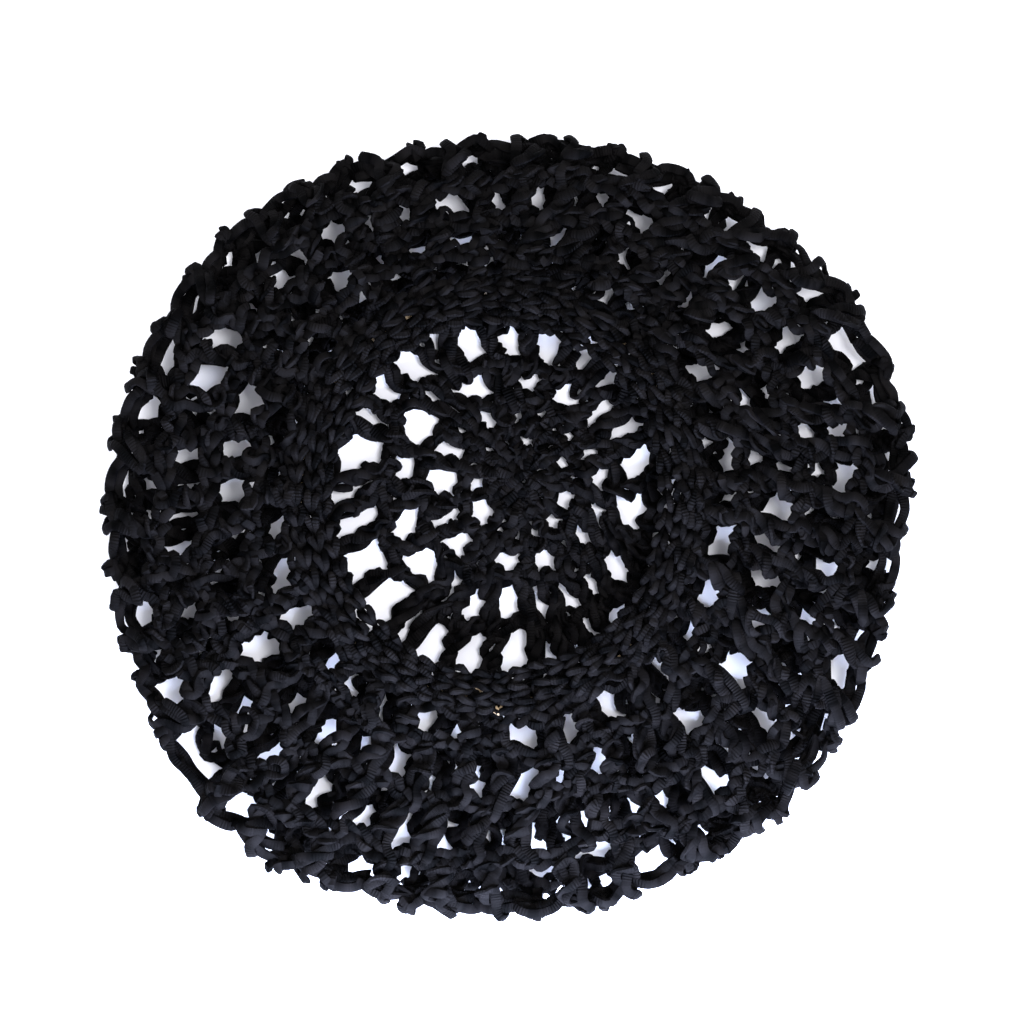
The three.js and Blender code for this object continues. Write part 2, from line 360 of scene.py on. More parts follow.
# %% Table of the rounds
COLUMNS = ("name", "node", "head", "stitches", "chains", "turn", "full", "tape")
ROUND_TABLE = [
    ("crown_round_1", "crown_rosette", 11, 14, 1, 0.0, 0.9, 3.1),
    ("crown_round_2", "crown_rosette", 21, 14, 2, 0.3, 0.8, 2.8),
    ("crown_round_3", "crown_net", 33, 17, 2, 0.1, 0.85, 2.8),
    ("crown_round_4", "crown_net", 48, 22, 3, 0.6, 0.95, 2.9),
    ("crown_round_5", "crown_net", 66, 29, 3, 0.2, 1.0, 2.8),
    ("crown_round_6", "crown_net", 84, 32, 3, 0.35, 1.15, 3.0),
    ("crown_round_7", "crown_net", 103, 44, 3, 0.4, 1.2, 3.0),
    ("crown_round_8", "crown_net", 123, 47, 3, 0.1, 1.25, 3.1),
    ("side_round", "side_net", 137, 36, 2, 0.55, 1.4, 3.2),
    ("gathered_round_1", "side_net", 159, 36, 4, 0.05, 1.6, 3.2),
    ("gathered_round_2", "gathered_net", 180, 44, 3, 0.5, 1.4, 3.1),
    ("gathered_round_3", "gathered_net", 201, 41, 3, 0.45, 1.3, 3.0),
    ("gathered_round_4", "gathered_net", 218, 31, 3, 0.6, 1.15, 3.0),
]
ROUNDS = [dict(zip(COLUMNS, row)) for row in ROUND_TABLE]
RIM_ROUND = "side_round"
WIDEST = [row["name"] for row in ROUNDS].index(RIM_ROUND)  # the rim is the widest
HEART_HOLE = 2.4  # where the first posts are drawn together, in mm from the heart
print(sum(row["stitches"] for row in ROUNDS), "tall stitches in", len(ROUNDS), "rounds")

# %% [markdown]
# ## Where the top of a round runs
#
# A crocheted edge is never a true circle. Its own posts hold it back, the posts of the
# next round pull it on, and every stitch is a little taller or shorter than the last. So
# a round's top edge is its nominal distance plus a zigzag, a slow wave and one random
# height for each stitch, all with fixed seeds.

# %% Edge of a round
ZIGZAG = 1.1  # mm that the edge is held back at a post and pulled on between posts
SLOW_WANDER = 1.0  # mm of slow wandering
STITCH_WANDER = 1.2  # mm that one stitch is taller or shorter than the next
FULL_WANDER = 50  # mm from the heart where the edge starts to wander in full
SLOW_SEED, HEIGHT_SEED = 40, 70  # each round adds its own number to them


def slow_waves(angle, seed, waves=(3, 5, 8, 13)):
    draw = np.random.default_rng(seed)
    total = np.zeros_like(angle)
    for k in waves:
        total += draw.normal() * np.cos(k * angle + draw.uniform(0, TURN))
    return total / math.sqrt(len(waves))


def stitch_waves(posts, count, seed):
    heights = np.random.default_rng(seed).normal(0, 1, count)
    low = np.floor(posts).astype(int)
    share = smooth_step(posts - low)
    return heights[low % count] * (1 - share) + heights[(low + 1) % count] * share


def edge_way(index, angle):
    """How far from the heart the top edge of a round lies, in mm."""
    if index < 0:
        return np.full_like(angle, HEART_HOLE)
    row = ROUNDS[index]
    posts = WORKED * row["stitches"] * angle / TURN - row["turn"]
    ease = min(1.0, row["head"] / FULL_WANDER)
    zigzag = -ZIGZAG * np.cos(TURN * posts)
    slow = SLOW_WANDER * slow_waves(angle, SLOW_SEED + index)
    quick = STITCH_WANDER * stitch_waves(posts, row["stitches"], HEIGHT_SEED + index)
    return row["head"] + ease * (zigzag + slow + quick)


# %% [markdown]
# ## One stitch as a path
#
# A chain loop rises through the loop before it, runs on as two legs that lie side by
# side, and is held at its head by the next loop, while the yarn returns along the back.
# A tall stitch goes down its own post, hooks round the edge of the round below, winds
# once round itself on its way back, and goes down and up once more, so four passes of
# tape lie in one post. At the rim a small knot sits on the head of each post. Each is a
# short list of places: `up` is 0 on the edge below and 1 on this round's edge, `reach`
# counts loops along the round, and `side`, `on` and `out` are millimetres along the
# round, towards the mouth and out of the bag.

# %% Places of a chain loop, a tall stitch and a knot of the rim
CHAIN_LOOP = [
    dict(reach=0.05, on=0.3, out=-0.9),
    dict(reach=0.40, on=0.9, out=0.6),
    dict(reach=0.85, on=1.8, out=1.4),
    dict(reach=1.15, on=1.8, out=0.4),
    dict(reach=1.36, on=0.0, out=-0.9),
    dict(reach=1.15, on=-1.8, out=0.4),
    dict(reach=0.85, on=-1.8, out=1.4),
    dict(reach=0.40, on=-0.9, out=0.6),
    dict(reach=0.05, on=-0.3, out=-0.9),
]
CHAIN_BACK = dict(reach=0.5, on=0.0, out=-2.1)
TALL_STITCH = [
    dict(side=-2.0, up=1.0, on=-1.0, out=-1.8),
    dict(side=-2.4, up=0.8, on=0, out=0.0),
    dict(side=-2.4, up=0.5, on=0, out=0.2),
    dict(side=-2.2, up=0.2, on=0, out=0.4),
    dict(side=-2.1, up=0.0, on=0.6, out=2.4),
    dict(side=-1.0, up=0.0, on=-3.3, out=1.2),
    dict(side=1.0, up=0.0, on=-3.3, out=-1.2),
    dict(side=2.1, up=0.0, on=0.6, out=-2.4),
    dict(side=2.4, up=0.22, on=0, out=-0.2),
    dict(side=2.6, up=0.4, on=0, out=1.0),
    dict(side=0.2, up=0.5, on=0, out=2.9),
    dict(side=-2.7, up=0.52, on=0, out=1.0),
    dict(side=-1.0, up=0.6, on=0, out=-1.6),
    dict(side=1.8, up=0.78, on=0, out=-0.6),
    dict(side=1.4, up=0.9, on=0, out=1.6),
    dict(side=-1.4, up=0.86, on=0, out=2.2),
    dict(side=-0.8, up=0.64, on=0, out=1.8),
    dict(side=0.8, up=0.36, on=0, out=1.9),
    dict(side=1.6, up=0.18, on=0, out=1.2),
    dict(side=1.2, up=0.14, on=0, out=-1.2),
    dict(side=-0.4, up=0.34, on=0, out=-1.9),
    dict(side=0.3, up=0.66, on=0, out=-1.5),
    dict(side=-0.4, up=0.95, on=0, out=0.2),
]
RIM_KNOT = [
    dict(side=-2.0, on=-2.0, out=0.6),
    dict(side=-1.8, on=-0.2, out=3.0),
    dict(side=-1.2, on=2.0, out=1.2),
    dict(side=-0.2, on=0.4, out=-1.0),
    dict(side=0.8, on=-2.0, out=0.8),
    dict(side=1.2, on=0.0, out=3.6),
    dict(side=1.6, on=2.0, out=1.4),
]
print(len(CHAIN_LOOP), "places in a chain loop,", len(TALL_STITCH), "in a tall stitch")
print(len(RIM_KNOT), "places in a knot of the rim")

# %% Walk the yarn through one round
JITTER = 0.45  # mm that each place of a stitch is off by
POST_WANDER = 0.14  # share of a stitch that a post stands off its even place
LEAN = 2.1  # mm that the foot of a post stands aside of its head
BOW = 1.1  # mm that a post bows to one side
SPREAD = (0.7, 1.1)  # a post is drawn in or loose by such a factor
SHUFFLE = 0.05  # share of its post that a place stands too high or too low
LOWEST_UP, HIGHEST_UP = 0.06, 0.97  # a shuffled place stays between these
TWIST = (0.3, 0.95)  # turns that the passes of a post wind round each other
FLATNESS = 0.72  # how deep a twisted post is, as a share of its width
RIM_SAG = 2.4  # mm that the plain edge sags inwards between the knots of the rim
RIM_PARTING = 3.2  # mm between the two legs of a loop at the rim
PARTING_SPREAD = (0.5, 1.2)  # that parting is small or wide by such a factor
LOOP_SPREAD = (0.8, 1.25)  # a chain loop is tight or loose by such a factor
LOOP_ASIDE = 0.5  # mm that a chain loop lies beside its edge
KNOT_SPREAD = (0.7, 1.3)  # a knot of the rim stands low or high by such a factor
STITCH_SEED = 100  # each round adds its own number


def tall_stitch(here, full, draw):
    lean, bow = draw.normal(0, LEAN), draw.normal(0, BOW)
    spread, twist = full * draw.uniform(*SPREAD), draw.uniform(*TWIST)
    for step in TALL_STITCH:
        up = step["up"]
        if 0 < up < 1:
            up = min(max(up + draw.normal(0, SHUFFLE), LOWEST_UP), HIGHEST_UP)
        wind = TURN * twist * (up - 0.5) * (0 < up < 1)
        side = step["side"] * math.cos(wind) - step["out"] * math.sin(wind) / FLATNESS
        out = step["side"] * math.sin(wind) * FLATNESS + step["out"] * math.cos(wind)
        aside = lean * (1 - up) + bow * math.sin(math.pi * up)
        yield here, up, side * spread + aside, step["on"], out


def chain_loop(base, length, row, draw):
    loose = draw.uniform(*LOOP_SPREAD) * row["full"] ** 0.5
    aside = draw.normal(0, LOOP_ASIDE)
    parted = RIM_PARTING * draw.uniform(*PARTING_SPREAD) * (row["name"] == RIM_ROUND)
    for step in CHAIN_LOOP:
        out = step["out"] - parted * (step["on"] < 0)
        yield base + step["reach"] * length, 1, 0, step["on"] * loose + aside, out


def rim_knot(here, draw):
    stand = draw.uniform(*KNOT_SPREAD)
    for step in RIM_KNOT:
        yield here, 1, step["side"], step["on"], step["out"] * stand


def round_places(index):
    """Rows of turn, up, side, on, out for the strand of one round."""
    row = ROUNDS[index]
    draw = np.random.default_rng(STITCH_SEED + index)
    wander = draw.normal(0, POST_WANDER, row["stitches"])
    posts = np.arange(row["stitches"] + 1) + row["turn"] + np.append(wander, wander[0])
    places = []
    for here, there in zip(posts[:-1], posts[1:]):
        if row["name"] == RIM_ROUND:
            places += rim_knot(here, draw)
        places += tall_stitch(here, row["full"], draw)
        length = (there - here) / row["chains"]
        for c in range(row["chains"]):
            base = here + c * length
            places += chain_loop(base, length, row, draw)
            if c < row["chains"] - 1:
                back = base + CHAIN_BACK["reach"] * length
                places.append((back, 1, 0, CHAIN_BACK["on"], CHAIN_BACK["out"]))
    places = np.array(places)
    places[:, 2:] += draw.normal(0, JITTER, places[:, 2:].shape)
    return places


STITCH_ROOM = 9.0  # mm of room along the round that a full-sized stitch needs
LEAST_ROOM = 0.3  # share of its size to which a stitch shrinks at most
LEAST_WAY = 2.0  # mm from the heart inside which a stitch shrinks no more


def round_path(index):
    """The strand of one round as points of the bag, in metres."""
    row = ROUNDS[index]
    turn, up, side, on, out = round_places(index).T
    angle = WORKED * turn / row["stitches"] * TURN
    way = edge_way(index - 1, angle) * (1 - up) + edge_way(index, angle) * up
    around, onward, outward = bag_directions(angle, way)
    room = TURN * np.maximum(way, LEAST_WAY) / row["stitches"] / STITCH_ROOM
    room = np.clip(room, LEAST_ROOM, 1)
    if row["name"] == RIM_ROUND:
        out = out - RIM_SAG * np.sin(math.pi * (turn - row["turn"])) ** 2 * (up == 1)
    shift = around * (side * room)[:, None]
    shift += onward * (on * room)[:, None] + outward * out[:, None]
    return bag_middle(angle, way) + shift * MM


print("places in the widest round:", len(round_places(WIDEST)))

# %% [markdown]
# ## From places to a smooth strand
#
# A Catmull-Rom curve passes through every place without corners. The strand is then cut
# into even steps, and each step gets a direction for the flat side of the tape. A tape
# bends easily over its flat side and hardly at all over its edge, so at a sharp turn the
# flat side leans to the middle of the turn, and on a straight stretch it lies in the
# fabric. A tight turn also draws the tape together, so it is narrower there.

# %% Smooth curve, even steps and the lay of the tape
STEP = 1.6 * MM
CURVE_CUTS = 10
BEND_RADIUS = 4.5 * MM  # turns are measured as shares of a turn of this radius
KEEP, LIE, FOLLOW = 1.2, 0.7, 0.5  # pulls to the last step, the fabric and the turn
ROLL = 0.1  # how much the tape rolls from step to step
ROLL_SPAN = 41  # steps over which the roll evens out
EVEN_SWELL = 1.1  # width of a straight stretch, as a share of the nominal one
TURN_SWELL = 0.12  # how much of that share a turn of the bend radius takes away
NOISE_SWELL = 0.06  # how much the width changes at random
NOISE_SPAN = 9  # steps over which it does
SWELL_LIMITS = (0.76, 1.25)


def smooth_curve(places):
    before = np.vstack([2 * places[0] - places[1], places, 2 * places[-1] - places[-2]])
    share = np.linspace(0, 1, CURVE_CUTS, endpoint=False)[None, :, None]
    a, b, c, d = (before[i : len(places) - 1 + i, None, :] for i in range(4))
    curve = 0.5 * (
        2 * b
        + (c - a) * share
        + (2 * a - 5 * b + 4 * c - d) * share**2
        + (3 * b - a - 3 * c + d) * share**3
    )
    return np.vstack([curve.reshape(-1, 3), places[-1:]])


def even_steps(curve, step):
    lengths = np.linalg.norm(np.diff(curve, axis=0), axis=1)
    walked = np.concatenate([[0], np.cumsum(lengths)])
    count = max(2, int(walked[-1] / step))
    marks = np.linspace(0, walked[-1], count + 1)
    return np.column_stack([np.interp(marks, walked, curve[:, i]) for i in range(3)])


def strand_bends(strand):
    """The tangent at each step, and the turn there as a share of the bend radius."""
    tangent = unit(np.gradient(strand, axis=0))
    step = np.linalg.norm(strand[1] - strand[0])
    return tangent, np.gradient(tangent, axis=0) / step * BEND_RADIUS


def tape_lay(strand, lying, seed):
    """The direction of the flat side at each step of a strand."""
    draw = np.random.default_rng(seed)
    tangent, bend = strand_bends(strand)
    roll = np.cumsum(draw.normal(0, ROLL, len(strand)))
    roll -= np.convolve(roll, np.ones(ROLL_SPAN) / ROLL_SPAN, mode="same")
    across = unit(np.cross(tangent, lying))
    lying = lying + across * roll[:, None]
    lay = np.empty_like(strand)
    last = lying[0]
    for i in range(len(strand)):
        pull = bend[i] if bend[i] @ last > 0 else -bend[i]
        rest = lying[i] if lying[i] @ last > 0 else -lying[i]
        wish = last * KEEP + rest * LIE + pull * FOLLOW
        wish -= tangent[i] * (wish @ tangent[i])
        last = wish / max(np.linalg.norm(wish), 1e-9)
        lay[i] = last
    return lay


def tape_swell(strand, seed):
    """How much wider or narrower than nominal the tape is at each step."""
    draw = np.random.default_rng(seed)
    noise = draw.normal(0, 1, len(strand) + NOISE_SPAN - 1)
    noise = np.convolve(noise, np.ones(NOISE_SPAN) / math.sqrt(NOISE_SPAN), mode="valid")
    turn = np.linalg.norm(strand_bends(strand)[1], axis=1)
    turn = np.convolve(turn, np.ones(3) / 3, mode="same")
    swell = EVEN_SWELL - TURN_SWELL * np.clip(turn, 0, 2) + NOISE_SWELL * noise
    return np.clip(swell, *SWELL_LIMITS)


widest_strand = even_steps(smooth_curve(round_path(WIDEST)), STEP)
print("steps in the widest round:", len(widest_strand))

# %% [markdown]
# ## A tape swept by Geometry Nodes
#
# A tree of nodes turns a strand into yarn: the edges become a curve, the stored lay
# sets the curve's normals, and a flat section with rounded corners is swept along it.
# Edges sharper than a set angle stay crisp, so the yarn looks like a tape and not like a
# cord. The tree also stores how far along the strand each point is, which the material
# reads later for the ribs of the knit.

# %% Node tree for the tape
TAPE_WIDTH = 3.0 * MM
TAPE_THICKNESS = 1.6 * MM
TAPE_ROUNDNESS = 0.22  # radius of the corners, as a share of the section
CRISP_EDGE = math.radians(38)  # an edge sharper than this isn't smoothed


def add_input(tree, name, kind, value):
    socket = tree.interface.new_socket(name, in_out="INPUT", socket_type=kind)
    socket.default_value = value


def build_tape_tree():
    tree = bpy.data.node_groups.new("tape_along_strand", "GeometryNodeTree")
    tree.interface.new_socket("Geometry", in_out="INPUT", socket_type="NodeSocketGeometry")
    tree.interface.new_socket("Geometry", in_out="OUTPUT", socket_type="NodeSocketGeometry")
    add_input(tree, "Width", "NodeSocketFloat", TAPE_WIDTH)
    add_input(tree, "Thickness", "NodeSocketFloat", TAPE_THICKNESS)
    add_input(tree, "Roundness", "NodeSocketFloat", TAPE_ROUNDNESS)
    tree.interface.new_socket("Material", in_out="INPUT", socket_type="NodeSocketMaterial")

    def node(kind, **settings):
        made = tree.nodes.new(kind)
        for key, value in settings.items():
            setattr(made, key, value)
        return made

    def attribute(name, kind):
        reader = node("GeometryNodeInputNamedAttribute", data_type=kind)
        reader.inputs["Name"].default_value = name
        return reader.outputs["Attribute"]

    def store(geometry, name, value):
        writer = node("GeometryNodeStoreNamedAttribute", data_type="FLOAT", domain="POINT")
        writer.inputs["Name"].default_value = name
        tree.links.new(geometry, writer.inputs["Geometry"])
        tree.links.new(value, writer.inputs["Value"])
        return writer.outputs["Geometry"]

    given = node("NodeGroupInput")
    curve = node("GeometryNodeMeshToCurve")
    normal = node("GeometryNodeSetCurveNormal", mode="FREE")
    tree.links.new(given.outputs["Geometry"], curve.inputs["Mesh"])
    tree.links.new(curve.outputs["Curve"], normal.inputs["Curve"])
    tree.links.new(attribute("lay", "FLOAT_VECTOR"), normal.inputs["Normal"])
    length = node("GeometryNodeSplineParameter").outputs["Length"]
    strand = store(normal.outputs["Curve"], "along", length)

    square = node("GeometryNodeCurvePrimitiveQuadrilateral")
    square.inputs["Width"].default_value = 1
    square.inputs["Height"].default_value = 1
    rounded = node("GeometryNodeFilletCurve", mode="POLY")
    rounded.inputs["Count"].default_value = 1
    tree.links.new(square.outputs["Curve"], rounded.inputs["Curve"])
    tree.links.new(given.outputs["Roundness"], rounded.inputs["Radius"])
    flatten = node("ShaderNodeCombineXYZ")
    flatten.inputs["Z"].default_value = 1
    tree.links.new(given.outputs["Thickness"], flatten.inputs["X"])
    tree.links.new(given.outputs["Width"], flatten.inputs["Y"])
    section = node("GeometryNodeTransform")
    tree.links.new(rounded.outputs["Curve"], section.inputs["Geometry"])
    tree.links.new(flatten.outputs[0], section.inputs["Scale"])

    sweep = node("GeometryNodeCurveToMesh")
    sweep.inputs["Fill Caps"].default_value = True
    tree.links.new(strand, sweep.inputs["Curve"])
    tree.links.new(section.outputs["Geometry"], sweep.inputs["Profile Curve"])
    tree.links.new(attribute("swell", "FLOAT"), sweep.inputs["Scale"])
    smooth = node("GeometryNodeSetShadeSmooth")
    corner = node("FunctionNodeCompare", data_type="FLOAT", operation="GREATER_THAN")
    corner.inputs["B"].default_value = CRISP_EDGE
    angle = node("GeometryNodeInputMeshEdgeAngle").outputs["Unsigned Angle"]
    tree.links.new(angle, corner.inputs["A"])
    crisp = node("GeometryNodeSetShadeSmooth", domain="EDGE")
    crisp.inputs["Shade Smooth"].default_value = False
    realize = node("GeometryNodeRealizeInstances")
    dress = node("GeometryNodeSetMaterial")
    result = node("NodeGroupOutput")
    tree.links.new(sweep.outputs["Mesh"], smooth.inputs["Geometry"])
    tree.links.new(smooth.outputs["Geometry"], crisp.inputs["Geometry"])
    tree.links.new(corner.outputs["Result"], crisp.inputs["Selection"])
    tree.links.new(crisp.outputs["Geometry"], realize.inputs["Geometry"])
    tree.links.new(realize.outputs["Geometry"], dress.inputs["Geometry"])
    tree.links.new(given.outputs["Material"], dress.inputs["Material"])
    tree.links.new(dress.outputs["Geometry"], result.inputs["Geometry"])
    return tree


TAPE_TREE = build_tape_tree()
print("tape tree has", len(TAPE_TREE.nodes), "nodes")

# %% Sweep a strand and keep the result as a plain mesh


def set_inputs(modifier, values):
    for socket in modifier.node_group.interface.items_tree:
        if socket.item_type == "SOCKET" and socket.name in values:
            modifier[socket.identifier] = values[socket.name]


def sweep_strands(name, strands, width, thickness, material):
    """One object from strands, each a dict of points, lay and swell."""
    mesh = bpy.data.meshes.new(name)
    points = np.vstack([s["points"] for s in strands])
    edges, start = [], 0
    for s in strands:
        end = start + len(s["points"])
        edges += [(i, i + 1) for i in range(start, end - 1)]
        start = end
    mesh.from_pydata(points.tolist(), edges, [])
    lay = mesh.attributes.new("lay", "FLOAT_VECTOR", "POINT")
    lay.data.foreach_set("vector", np.vstack([s["lay"] for s in strands]).ravel())
    swell = mesh.attributes.new("swell", "FLOAT", "POINT")
    swell.data.foreach_set("value", np.concatenate([s["swell"] for s in strands]))
    piece = bpy.data.objects.new(name, mesh)
    bpy.context.scene.collection.objects.link(piece)
    modifier = piece.modifiers.new("tape", "NODES")
    modifier.node_group = TAPE_TREE
    set_inputs(modifier, {"Width": width, "Thickness": thickness, "Material": material})
    graph = bpy.context.evaluated_depsgraph_get()
    swept = bpy.data.meshes.new_from_object(piece.evaluated_get(graph))
    piece.modifiers.remove(modifier)
    piece.data = swept
    bpy.data.meshes.remove(mesh)
    for spare in ("lay", "swell"):
        swept.attributes.remove(swept.attributes[spare])
    swept.name = name
    return piece


# %% [markdown]
# ## Black tape yarn
#
# The yarn is a knitted tape with fine ribs across it. It is dull and nearly black, with
# darker and lighter stretches in turn. The ribs come from the distance along the strand,
# so they turn with every bend, and a noise wipes them out but for a few patches, because
# on the real tape they only show here and there. They are too fine for geometry, so they
# are the one form that is left to bump.

# %% Material of the yarn
RIB_PITCH = 0.95 * MM
RIB_DEPTH = 0.25 * MM
YARN_DARK = (0.0004, 0.0004, 0.0005, 1)
YARN_LIGHT = (0.0049, 0.0045, 0.0048, 1)


def build_yarn_material():
    material = bpy.data.materials.new("black_tape_yarn")
    material.use_nodes = True
    tree = material.node_tree
    shader = tree.nodes["Principled BSDF"]
    shader.inputs["Roughness"].default_value = 0.62
    shader.inputs["Specular IOR Level"].default_value = 0.015
    along = tree.nodes.new("ShaderNodeAttribute")
    along.attribute_name = "along"
    wave = tree.nodes.new("ShaderNodeMath")
    wave.operation = "MULTIPLY"
    wave.inputs[1].default_value = TURN / RIB_PITCH
    sine = tree.nodes.new("ShaderNodeMath")
    sine.operation = "SINE"
    wear = tree.nodes.new("ShaderNodeTexNoise")
    wear.inputs["Scale"].default_value = 110
    ribbed = tree.nodes.new("ShaderNodeMapRange")
    ribbed.inputs["From Min"].default_value = 0.46
    ribbed.inputs["From Max"].default_value = 0.66
    ribbed.inputs["To Min"].default_value = 0.08
    worn = tree.nodes.new("ShaderNodeMath")
    worn.operation = "MULTIPLY"
    bump = tree.nodes.new("ShaderNodeBump")
    bump.inputs["Strength"].default_value = 0.6
    bump.inputs["Distance"].default_value = RIB_DEPTH
    place = tree.nodes.new("ShaderNodeTexCoord")
    tree.links.new(place.outputs["Object"], wear.inputs["Vector"])
    tree.links.new(along.outputs["Fac"], wave.inputs[0])
    tree.links.new(wave.outputs[0], sine.inputs[0])
    tree.links.new(sine.outputs[0], worn.inputs[0])
    tree.links.new(wear.outputs[0], ribbed.inputs[0])
    tree.links.new(ribbed.outputs[0], worn.inputs[1])
    tree.links.new(worn.outputs[0], bump.inputs["Height"])
    tree.links.new(bump.outputs[0], shader.inputs["Normal"])
    patches = tree.nodes.new("ShaderNodeTexNoise")
    patches.noise_dimensions = "1D"
    patches.inputs["Scale"].default_value = 110
    patches.inputs["Detail"].default_value = 3
    ramp = tree.nodes.new("ShaderNodeValToRGB")
    ramp.color_ramp.elements[0].position = 0.35
    ramp.color_ramp.elements[0].color = YARN_DARK
    ramp.color_ramp.elements[1].position = 0.68
    ramp.color_ramp.elements[1].color = YARN_LIGHT
    tree.links.new(along.outputs["Fac"], patches.inputs["W"])
    tree.links.new(patches.outputs[0], ramp.inputs[0])
    tree.links.new(ramp.outputs[0], shader.inputs["Base Color"])
    return material


YARN = build_yarn_material()
print(YARN.name, "has a rib every", round(RIB_PITCH / MM, 2), "mm")

# %% [markdown]
# ## Crochet every round
#
# Each round is one strand from its first stitch to its last, so it has two ends, which
# meet at its first post. The lower layer lies on the board and no lower: what would go
# below it is squeezed into a thin layer on it, first the middle of each strand and then
# the points of the swept tape.

# %% Crochet the net
LOWEST_STRAND = 1.5 * MM  # height of the middle of a strand that touches the board
STRAND_PRESS = 1.2 * MM  # thickness of the layer that low strands are squeezed into
TAPE_PRESS = 0.7 * MM  # the same for the points of the tape
LIE_OUTWARDS = 0.35  # how much the flat side of the tape faces away from the heart
LAY_SEED = 200  # each round adds its own number


def press(heights, soft):
    """Heights below `soft` are squeezed in between the board and `soft`."""
    squeezed = soft * np.exp(np.minimum(heights / soft - 1, 0))
    return np.where(heights < soft, squeezed, heights)


def press_strand(points):
    lift = press(points[:, 2] - LOWEST_STRAND, STRAND_PRESS)
    return np.column_stack([points[:, :2], LOWEST_STRAND + lift])


def press_tape(piece):
    vertices = piece.data.vertices
    places = np.empty(len(vertices) * 3)
    vertices.foreach_get("co", places)
    places[2::3] = press(places[2::3], TAPE_PRESS)
    vertices.foreach_set("co", places)


def make_strand(places, seed, step=STEP, swell=None):
    strand = press_strand(even_steps(smooth_curve(places), step))
    flat = strand[:, :2] - HEART
    outwards = LIE_OUTWARDS * heading(np.arctan2(flat[:, 1], flat[:, 0]))
    lying = np.column_stack([outwards, np.ones(len(flat))])
    lay = tape_lay(strand, unit(lying), seed)
    if swell is None:
        widths = tape_swell(strand, seed)
    else:
        walked = np.cumsum(np.append(0, np.linalg.norm(np.diff(places, axis=0), axis=1)))
        marks = np.linspace(0, walked[-1], len(strand))
        widths = np.interp(marks, walked, swell)
    return {"points": strand, "lay": lay, "swell": widths}


def hand_in(piece, node):
    press_tape(piece)
    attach(piece, "root")
    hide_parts(node)
    print(piece.name, "has", len(piece.data.polygons), "faces")


def crochet_round(index):
    row = ROUNDS[index]
    strand = make_strand(round_path(index), LAY_SEED + index)
    piece = sweep_strands(row["name"], [strand], row["tape"] * MM, TAPE_THICKNESS, YARN)
    hand_in(piece, row["node"])
    return len(strand["points"]) * STEP


yarn_used = sum(crochet_round(i) for i in range(len(ROUNDS)))
print("net takes", round(yarn_used, 1), "m of yarn")

# %% [markdown]
# ## The band round the mouth
#
# The last rounds are short, tight stitches over the elastic. From above each round shows
# as a braid of small V shapes, one for each stitch, and below them the yarn winds round
# the elastic. One more round of the same loops finishes the edge. The V is a chain loop
# again, but smaller and drawn tight, and its yarn swells on top of the legs, so that
# they look like leaves.

# %% Table of the band's rounds
BAND_ROUNDS = [
    dict(name="mouth_band", way=220.6, loops=62, out=1.3, tuck=0.4),
    dict(name="mouth_band", way=225.2, loops=60, out=1.5, tuck=0.1),
    dict(name="edge_chain", way=229.8, loops=58, out=0.6, tuck=0.6),
]
TIGHT_LOOP = [
    dict(reach=0.05, on=0.1, out=-1.3, swell=0.6),
    dict(reach=0.40, on=0.7, out=0.5, swell=0.95),
    dict(reach=0.75, on=1.4, out=1.2, swell=1.2),
    dict(reach=1.00, on=1.8, out=0.5, swell=1.0),
    dict(reach=1.18, on=1.2, out=-1.0, swell=0.6),
    dict(reach=1.25, on=0.0, out=-1.5, swell=0.6),
    dict(reach=1.18, on=-1.2, out=-1.0, swell=0.6),
    dict(reach=1.00, on=-1.8, out=0.5, swell=1.0),
    dict(reach=0.75, on=-1.4, out=1.2, swell=1.2),
    dict(reach=0.40, on=-0.7, out=0.5, swell=0.95),
    dict(reach=0.05, on=-0.1, out=-1.3, swell=0.6),
    dict(reach=0.5, on=0.0, out=-2.2, swell=0.8),
]
BAND_JITTER = 0.28  # mm that each place of a tight loop is off by
BAND_SWAY = 0.5  # mm that a round of the band sways towards the mouth and back
LOOP_WANDER = 0.06  # share of its length that a tight loop stands off its even place
BAND_SEED, BAND_LAY_SEED = 300, 310  # each round adds its own number


def band_points(angle, way, side, on, out):
    around, onward, outward = bag_directions(angle, way)
    shift = around * side[:, None] + onward * on[:, None] + outward * out[:, None]
    return bag_middle(angle, way) + shift * MM


def band_round_path(row, seed):
    draw = np.random.default_rng(seed)
    loops = np.arange(row["loops"])[:, None] + draw.normal(0, LOOP_WANDER, (row["loops"], 1))
    reach = np.array([step["reach"] for step in TIGHT_LOOP])
    turn = (loops + reach + row["tuck"]).ravel()
    on = np.tile([step["on"] for step in TIGHT_LOOP], row["loops"])
    out = np.tile([step["out"] for step in TIGHT_LOOP], row["loops"]) + row["out"]
    angle = WORKED * turn / row["loops"] * TURN
    way = row["way"] + BAND_SWAY * slow_waves(angle, seed)
    jitter = draw.normal(0, BAND_JITTER, (3, len(turn)))
    return band_points(angle, way, jitter[0], on + jitter[1], out + jitter[2])


def loop_swell(row):
    return np.tile([step["swell"] for step in TIGHT_LOOP], row["loops"])


print(sum(row["loops"] for row in BAND_ROUNDS), "tight loops in band and edge")

# %% Windings round the elastic
WINDINGS = 90
WINDING_STEPS = 8
WINDING = dict(way=221.8, half_way=5.2, out=-2.7, half_out=2.3, tape=3.3)
WINDING_JITTER = 0.25  # mm
WINDING_SEED, WINDING_LAY_SEED = 320, 321


def winding_path():
    count = WINDINGS * WINDING_STEPS
    turn = np.arange(count) / WINDING_STEPS
    angle = WORKED * turn / WINDINGS * TURN
    phase = TURN * turn
    way = WINDING["way"] + WINDING["half_way"] * np.cos(phase)
    out = WINDING["out"] + WINDING["half_out"] * np.sin(phase)
    jitter = np.random.default_rng(WINDING_SEED).normal(0, WINDING_JITTER, (3, count))
    return band_points(angle, way, jitter[0], jitter[1], out + jitter[2])


